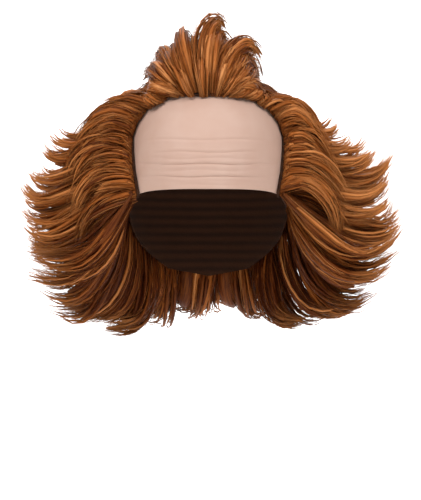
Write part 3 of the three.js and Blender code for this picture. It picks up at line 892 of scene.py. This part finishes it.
def lock_cores(name, families, guide, side):
    """The inside of each lock, which keeps light from showing through, painted dark as the shade inside it.
    """
    all_rings, all_sections, all_tones = [], [], []
    for rows in families:
        count = len(rows["width"])
        place = np.tile(np.linspace(0, CORE["end"], CORE["points"]), (count, 1))
        points, _, wide, deep = comb_lines(rows, guide(rows, side), place)
        half = np.stack([rows["width"], rows["depth"]], axis=-1) / 2
        section = CORE["share"] * half[:, None] * oval(CORE["sides"])
        grown = CORE["start"] + (1 - CORE["start"]) * smoothstep(place, 0, ROOT_HOLD)
        swollen = (grown * lock_swell(place / CORE["end"], rows))[..., None, None] * section[:, None]
        ring = points[:, :, None] + swollen[..., :1] * wide[:, :, None]
        ring = ring + swollen[..., 1:] * deep[:, :, None]
        all_rings.append(clear_of_head(ring, HAIR_START))
        all_sections.append(section)
        all_tones.append(CORE_SHADE_TONE + CORE_PAINTED_LIGHTENING * np.maximum(-rows["painted_shade"], 0))
    rings, section, tone = (np.concatenate(part) for part in (all_rings, all_sections, all_tones))
    look = np.arange(len(rings)) % HAIR_LOOKS
    return hair_mesh(name, rings, look, tone, 0, section, CORE["end"])


def grown_hair(clumps, guide, side, count, kind, plan):
    """Wisps or strands of some clumps: rings of corners, and the look of each hair."""
    girth = clumps["width"] + clumps["depth"]
    spread_evenly = (np.arange(count) + RNG.random(count)) / count
    clump = np.searchsorted(np.cumsum(girth) / girth.sum(), spread_evenly).clip(0, len(girth) - 1)
    own = {name: column[clump] for name, column in clumps.items()}
    for name, spread in STRAYING:
        if name in own:
            own[name] = own[name] + RNG.normal(0, spread * HAIR_STRAY, count)

    turn = RNG.random(count) * 2 * math.pi
    out = kind["inner"] + (kind["outer"] - kind["inner"]) * np.sqrt(RNG.random(count))
    along = np.tile(np.linspace(0, 1, kind["points"]), (count, 1))
    place = along * (own["reach"] * (kind["length"] - kind["short"] * RNG.random(count)))[:, None]
    points, tangent, wide, deep = comb_lines(own, guide(own, side), place)
    swell = lock_swell(place, own)
    gather = swell * (1 - plan["gather"] * along * along)
    offset_wide = out * np.cos(turn) * own["width"] / 2
    offset_deep = out * np.sin(turn) * own["depth"] / 2
    shift_wide = own["spot_wide"][:, None] * swell + offset_wide[:, None] * gather
    shift_deep = own["spot_deep"][:, None] * swell + offset_deep[:, None] * gather
    shift = shift_wide[..., None] * wide + shift_deep[..., None] * deep
    points = points + shift
    rooted = onto_head(points[:, 0], own["start"])
    hold = 1 - smoothstep(place, 0, ROOT_HOLD)
    lift = own["start"][:, None] + (HAIR_START - own["start"][:, None]) * smoothstep(place, 0, ROOT_LIFT)
    points = clear_of_head(points + hold[..., None] * (rooted - points[:, 0])[:, None], lift)

    outwards = unit(shift + MIDDLE_TURN * wide)
    rings = hair_rings(points, tangent, outwards, along, kind, plan["bluntness"])
    low, high = kind["looks"]
    # Hair rooted behind the ears is drawn darker still, as painted shade.
    rear_shade = REAR_PAINTED_SHADE * smoothstep(np.abs(own["theta"]), *REAR_SPAN)
    # A family's trait draws its tones darker as painted shade, or lighter as painted light.
    shade = np.power(RNG.random(count), 1 + own["painted_shade"] + rear_shade)
    return rings, np.floor(HAIR_LOOKS * (low + (high - low) * shade)).astype(int)


def hair_rings(points, tangent, outwards, along, kind, bluntness):
    """Rings of corners along hairs that lie flat on their clump and run out at their tips."""
    flat = unit(np.cross(tangent, outwards))
    ridge = np.cross(flat, tangent)
    start = kind["start"] + (1 - kind["start"]) * smoothstep(along, 0, SWOLLEN_BY)
    taper = (start * (1 - (1 - bluntness) * np.power(along, TAPER_POWER)))[..., None, None]
    section = hair_section(kind)
    rings = points[:, :, None] + taper * section[:, :1] * flat[:, :, None]
    return rings + taper * section[:, 1:] * ridge[:, :, None]


def clear_of_head(points, offset):
    """Moves points out of the cap, and those near the head back from the bald front."""
    inside = head_share(points, offset) < 1
    points = np.where(inside[..., None], onto_head(points, offset), points)
    level = points[..., 2]
    theta = np.arctan2(points[..., 0], -points[..., 1])
    edge = hairline_theta(np.clip(level, HAIRLINE_FLOOR, PANEL_TOP)) + math.radians(EDGE_TURN)
    close = head_share(points, NEAR_HEAD) < 1
    ahead = close & (np.abs(theta) < edge) & (level < NEAR_TOP) & (level > NEAR_FLOOR)
    reach = np.hypot(points[..., 0], points[..., 1])
    turned = np.where(theta < 0, -edge, edge)
    moved = np.stack([reach * np.sin(turned), -reach * np.cos(turned), level], axis=-1)
    cleared = np.where(ahead[..., None], moved, points)
    top = forehead_top(points[..., 0])
    hanging = close & (points[..., 1] < 0) & (level >= NEAR_TOP) & (level < top)
    cleared[..., 2] = np.where(hanging, top, cleared[..., 2])
    return cleared


def hair_group(name, families, edge, guide, side, material):
    """One group of hair: the cores of its locks, its wisps and its strands."""
    plan = dict(zip(HAIR_COLUMNS, HAIR_COUNTS[name]))
    cores = lock_cores(name + "_lock_cores", families, guide, side)
    dress(cores, ["hair_" + name], material)
    grown = [clumps_of(rows, plan["clumps"], plan["clump_share"]) for rows in families]
    grown += [clumps_of(rows, 1, 1.0) for rows in edge]
    sizes = np.array([(clumps["width"] + clumps["depth"]).sum() for clumps in grown])
    for word, kind in (("wisps", WISP), ("strands", STRAND)):
        counts = np.round(plan[word] * sizes / sizes.sum()).astype(int)
        parts = [grown_hair(clumps, guide, side, n, kind, plan) for clumps, n in zip(grown, counts)]
        rings, look = (np.concatenate(column) for column in zip(*parts))
        section = np.broadcast_to(hair_section(kind), (len(rings), kind["sides"], 2))
        hairs = hair_mesh(f"{name}_{word}", rings, look, LOOK_TONE[look], plan["fade"], section, 1)
        dress(hairs, ["hair_" + name], material)


def moulded_latex():
    """Thin moulded latex: matt and skin-toned, a little uneven, with a soft broad gloss."""
    material = new_material("moulded latex")
    place = add_node(material, "ShaderNodeTexCoord")
    blotch = add_node(
        material,
        "ShaderNodeTexNoise",
        {"Vector": place.outputs["Object"], "Scale": LATEX_BLOTCH_SCALE, "Detail": 3.0},
    )
    colour = add_node(
        material,
        "ShaderNodeMix",
        {0: blotch.outputs["Fac"], 6: linear("#ac8978"), 7: linear("#b6998a")},
        data_type="RGBA",
    )
    grain = add_node(
        material,
        "ShaderNodeTexNoise",
        {"Vector": place.outputs["Object"], "Scale": LATEX_GRAIN_SCALE, "Detail": 2.0},
    )
    bump = add_node(
        material, "ShaderNodeBump", {"Height": grain.outputs["Fac"], "Strength": 0.12, "Distance": 0.0004}
    )
    shader = add_node(
        material,
        "ShaderNodeBsdfPrincipled",
        {
            "Base Color": colour.outputs[2],
            "Normal": bump.outputs["Normal"],
            "Roughness": 0.6,
            "IOR": 1.52,
        },
    )
    return finish_material(material, shader)


def knitted_net():
    """Dark stretch net with sewn wefts: dull, with a fine mesh and rows of stitching."""
    material = new_material("knitted nylon net")
    place = add_node(material, "ShaderNodeTexCoord")
    wefts = add_node(
        material,
        "ShaderNodeTexWave",
        {"Vector": place.outputs["Object"], "Scale": NET_WEFT_SCALE, "Distortion": 0.6},
        bands_direction="Z",
    )
    mesh = add_node(
        material, "ShaderNodeTexVoronoi", {"Vector": place.outputs["Object"], "Scale": NET_MESH_SCALE}
    )
    colour = add_node(
        material,
        "ShaderNodeMix",
        {0: wefts.outputs["Fac"], 6: linear("#2c170b"), 7: linear("#3c2110")},
        data_type="RGBA",
    )
    bump = add_node(
        material, "ShaderNodeBump", {"Height": mesh.outputs["Distance"], "Strength": 0.5, "Distance": 0.0006}
    )
    shader = add_node(
        material,
        "ShaderNodeBsdfPrincipled",
        {
            "Base Color": colour.outputs[2],
            "Normal": bump.outputs["Normal"],
            "Roughness": 0.85,
            "Specular IOR Level": 0.2,
        },
    )
    return finish_material(material, shader)


def synthetic_fibre():
    """Heat-set synthetic hair: ginger, streaked along its length, with a soft warm gloss, painted shade at
    its roots, a painted sheen on its lightest hairs and painted light towards its tips.
    """
    material = new_material("synthetic hair fibre")
    tone = add_node(material, "ShaderNodeAttribute", attribute_name="tone")
    comb = add_node(material, "ShaderNodeAttribute", attribute_name="comb")
    along = add_node(material, "ShaderNodeAttribute", attribute_name="along")
    streak = add_node(
        material,
        "ShaderNodeTexNoise",
        {"Vector": comb.outputs["Vector"], "Scale": STREAK_SCALE, "Detail": 3.0, "Roughness": 0.65},
    )
    spread = add_node(
        material,
        "ShaderNodeMapRange",
        {"Value": streak.outputs["Fac"], "From Min": 0.3, "From Max": 0.7, "To Min": -0.24, "To Max": 0.24},
    )
    shade = add_node(
        material,
        "ShaderNodeMath",
        {0: tone.outputs["Fac"], 1: spread.outputs["Result"]},
        operation="ADD",
        use_clamp=True,
    )
    # From the dark end to the light: the hair's own tones, which differ at random, with the painted shade
    # and painted light of its family and of the rear over them.
    tone_and_shade = add_node(
        material,
        "ShaderNodeMix",
        {0: shade.outputs["Value"], 6: linear("#401404"), 7: linear("#c06c2b")},
        data_type="RGBA",
    )
    # Painted sheen: tones above the middle go up to 0.6 of the way to a pale tan, as a highlight on lit
    # hair.
    sheen_share = add_node(
        material,
        "ShaderNodeMapRange",
        {"Value": shade.outputs["Value"], "From Min": 0.5, "To Min": 0.0, "To Max": 0.6},
    )
    sheened = add_node(
        material,
        "ShaderNodeMix",
        {0: sheen_share.outputs["Result"], 6: tone_and_shade.outputs[2], 7: linear("#c28d5c")},
        data_type="RGBA",
    )
    # Painted shade: each hair darkens over the first quarter of its length, near the head, where the hair
    # over it shades it.
    rooted = add_node(
        material,
        "ShaderNodeMapRange",
        {"Value": along.outputs["Fac"], "From Max": 0.25, "To Min": 0.6, "To Max": 1.0},
    )
    body = add_node(
        material,
        "ShaderNodeMix",
        {0: rooted.outputs["Result"], 6: linear("#3a1a08"), 7: sheened.outputs[2]},
        data_type="RGBA",
    )
    # Painted light: the last third of each hair is mixed towards a light tan, as light shining through its
    # thin tips.
    tip_light = add_node(
        material,
        "ShaderNodeMapRange",
        {"Value": along.outputs["Fac"], "From Min": 0.65, "To Min": 0.0, "To Max": 0.55},
    )
    colour = add_node(
        material,
        "ShaderNodeMix",
        {0: tip_light.outputs["Result"], 6: body.outputs[2], 7: linear("#bf7c44")},
        data_type="RGBA",
    )
    bump = add_node(
        material, "ShaderNodeBump", {"Height": streak.outputs["Fac"], "Strength": 0.6, "Distance": 0.0008}
    )
    shader = add_node(
        material,
        "ShaderNodeBsdfPrincipled",
        {
            "Base Color": colour.outputs[2],
            "Normal": bump.outputs["Normal"],
            "Roughness": 0.42,
            "IOR": 1.55,
            "Specular IOR Level": 0.15,
            "Specular Tint": linear("#ffdcb4"),
        },
    )
    return finish_material(material, shader)


def backdrop_paper():
    """Seamless studio paper: white and dull, lit from behind further back."""
    material = new_material("studio backdrop paper")
    place = add_node(material, "ShaderNodeTexCoord")
    fleck = add_node(
        material,
        "ShaderNodeTexNoise",
        {"Vector": place.outputs["Object"], "Scale": PAPER_FLECK_SCALE, "Detail": 2.0},
    )
    colour = add_node(
        material,
        "ShaderNodeMix",
        {0: fleck.outputs["Fac"], 6: linear("#fafafa"), 7: linear("#ffffff")},
        data_type="RGBA",
    )
    axes = add_node(material, "ShaderNodeSeparateXYZ", {"Vector": place.outputs["Object"]})
    glow = add_node(
        material,
        "ShaderNodeMapRange",
        {
            "Value": axes.outputs["Y"],
            "From Min": BACKDROP_DIM,
            "From Max": BACKDROP_BRIGHT,
            "To Max": BACKDROP_GLOW,
        },
    )
    shader = add_node(
        material,
        "ShaderNodeBsdfPrincipled",
        {
            "Base Color": colour.outputs[2],
            "Roughness": 0.9,
            "Emission Color": linear("#ffffff"),
            "Emission Strength": glow.outputs["Result"],
        },
    )
    return finish_material(material, shader)


def backdrop():
    """A pale floor that bends up into a wall behind the wig."""
    deselect_all()
    bpy.ops.mesh.primitive_plane_add(size=BACKDROP_SIZE, location=(0, 0, FLOOR_UP * MM))
    floor = new_object("backdrop")
    bpy.ops.object.mode_set(mode="EDIT")
    bpy.ops.mesh.select_all(action="DESELECT")
    bpy.ops.object.mode_set(mode="OBJECT")
    for edge in floor.data.edges:
        edge.select = all(floor.data.vertices[v].co.y > 0 for v in edge.vertices)
    bpy.ops.object.mode_set(mode="EDIT")
    bpy.ops.mesh.select_mode(type="EDGE")
    bpy.ops.mesh.extrude_region_move(TRANSFORM_OT_translate={"value": (0, 0, BACKDROP_HEIGHT)})
    bpy.ops.object.mode_set(mode="OBJECT")
    apply_modifier(floor, "BEVEL", width=BACKDROP_BEND, segments=BACKDROP_BEND_STEPS, limit_method="ANGLE")
    bpy.ops.object.transform_apply(location=True, rotation=False, scale=False)
    shade_smooth(floor, BACKDROP_SMOOTHING)
    floor.data.materials.append(backdrop_paper())


def soft_boxes():
    """The lamps, turned to the wig, and a faint even light from all round."""
    for name, place, size, power in LIGHTS:
        data = bpy.data.lights.new(name, "AREA")
        data.size = size
        data.energy = power
        lamp = bpy.data.objects.new(name, data)
        lamp.location = place
        x, y, up = place
        lamp.rotation_euler = (math.atan2(math.hypot(x, y), up), 0, math.atan2(x, -y))
        bpy.context.scene.collection.objects.link(lamp)

    world = bpy.data.worlds.new("studio")
    world.use_nodes = True
    world.node_tree.nodes["Background"].inputs["Color"].default_value = linear("#ffffff")
    world.node_tree.nodes["Background"].inputs["Strength"].default_value = WORLD_STRENGTH
    bpy.context.scene.world = world
    bpy.context.scene.view_settings.view_transform = "Standard"


def front_camera():
    """The camera, level and straight in front."""
    data = bpy.data.cameras.new("camera")
    data.lens = CAMERA_LENS
    data.clip_end = CAMERA_RANGE
    camera = bpy.data.objects.new("camera", data)
    camera.location = [v * MM for v in CAMERA_PLACE]
    camera.rotation_euler = (math.radians(90), 0, 0)
    bpy.context.scene.collection.objects.link(camera)
    bpy.context.scene.camera = camera


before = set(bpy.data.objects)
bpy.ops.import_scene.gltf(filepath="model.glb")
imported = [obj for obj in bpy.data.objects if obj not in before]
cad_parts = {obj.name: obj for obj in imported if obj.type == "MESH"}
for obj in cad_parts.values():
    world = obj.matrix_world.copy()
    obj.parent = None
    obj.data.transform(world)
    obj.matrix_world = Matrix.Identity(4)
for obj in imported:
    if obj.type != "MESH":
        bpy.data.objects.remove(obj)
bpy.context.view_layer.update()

hair = synthetic_fibre()
latex_forehead(moulded_latex())
net_cap(knitted_net())
hair_roots(hair)

left = {name: family_of(name, SWEPT_COLUMNS, rows) for name, rows in LEFT_FAMILIES.items()}
right = {name: family_of(name, SWEPT_COLUMNS, rows) for name, rows in RIGHT_FAMILIES.items()}
tuft = {name: family_of(name, TUFT_COLUMNS, rows) for name, rows in TUFT_FAMILIES.items()}
fan = {name: np.concatenate([tuft["fan"][name], tuft["fan_right"][name]]) for name in TUFT_COLUMNS}
back = [back_family(row) for row in BACK_WEFTS]
for name, families, edge, guide, side in [
    ("left", list(left.values()), [edge_family(left["waves"])], swept_guides, -1),
    ("right", list(right.values()), [edge_family(right["right_waves"])], swept_guides, 1),
    ("tuft", list(tuft.values()), [tuft_edge_family(fan)], tuft_guides, 1),
    ("back", back, [], swept_guides, 1),
]:
    hair_group(name, families, edge, guide, side, hair)

backdrop()
soft_boxes()
front_camera()
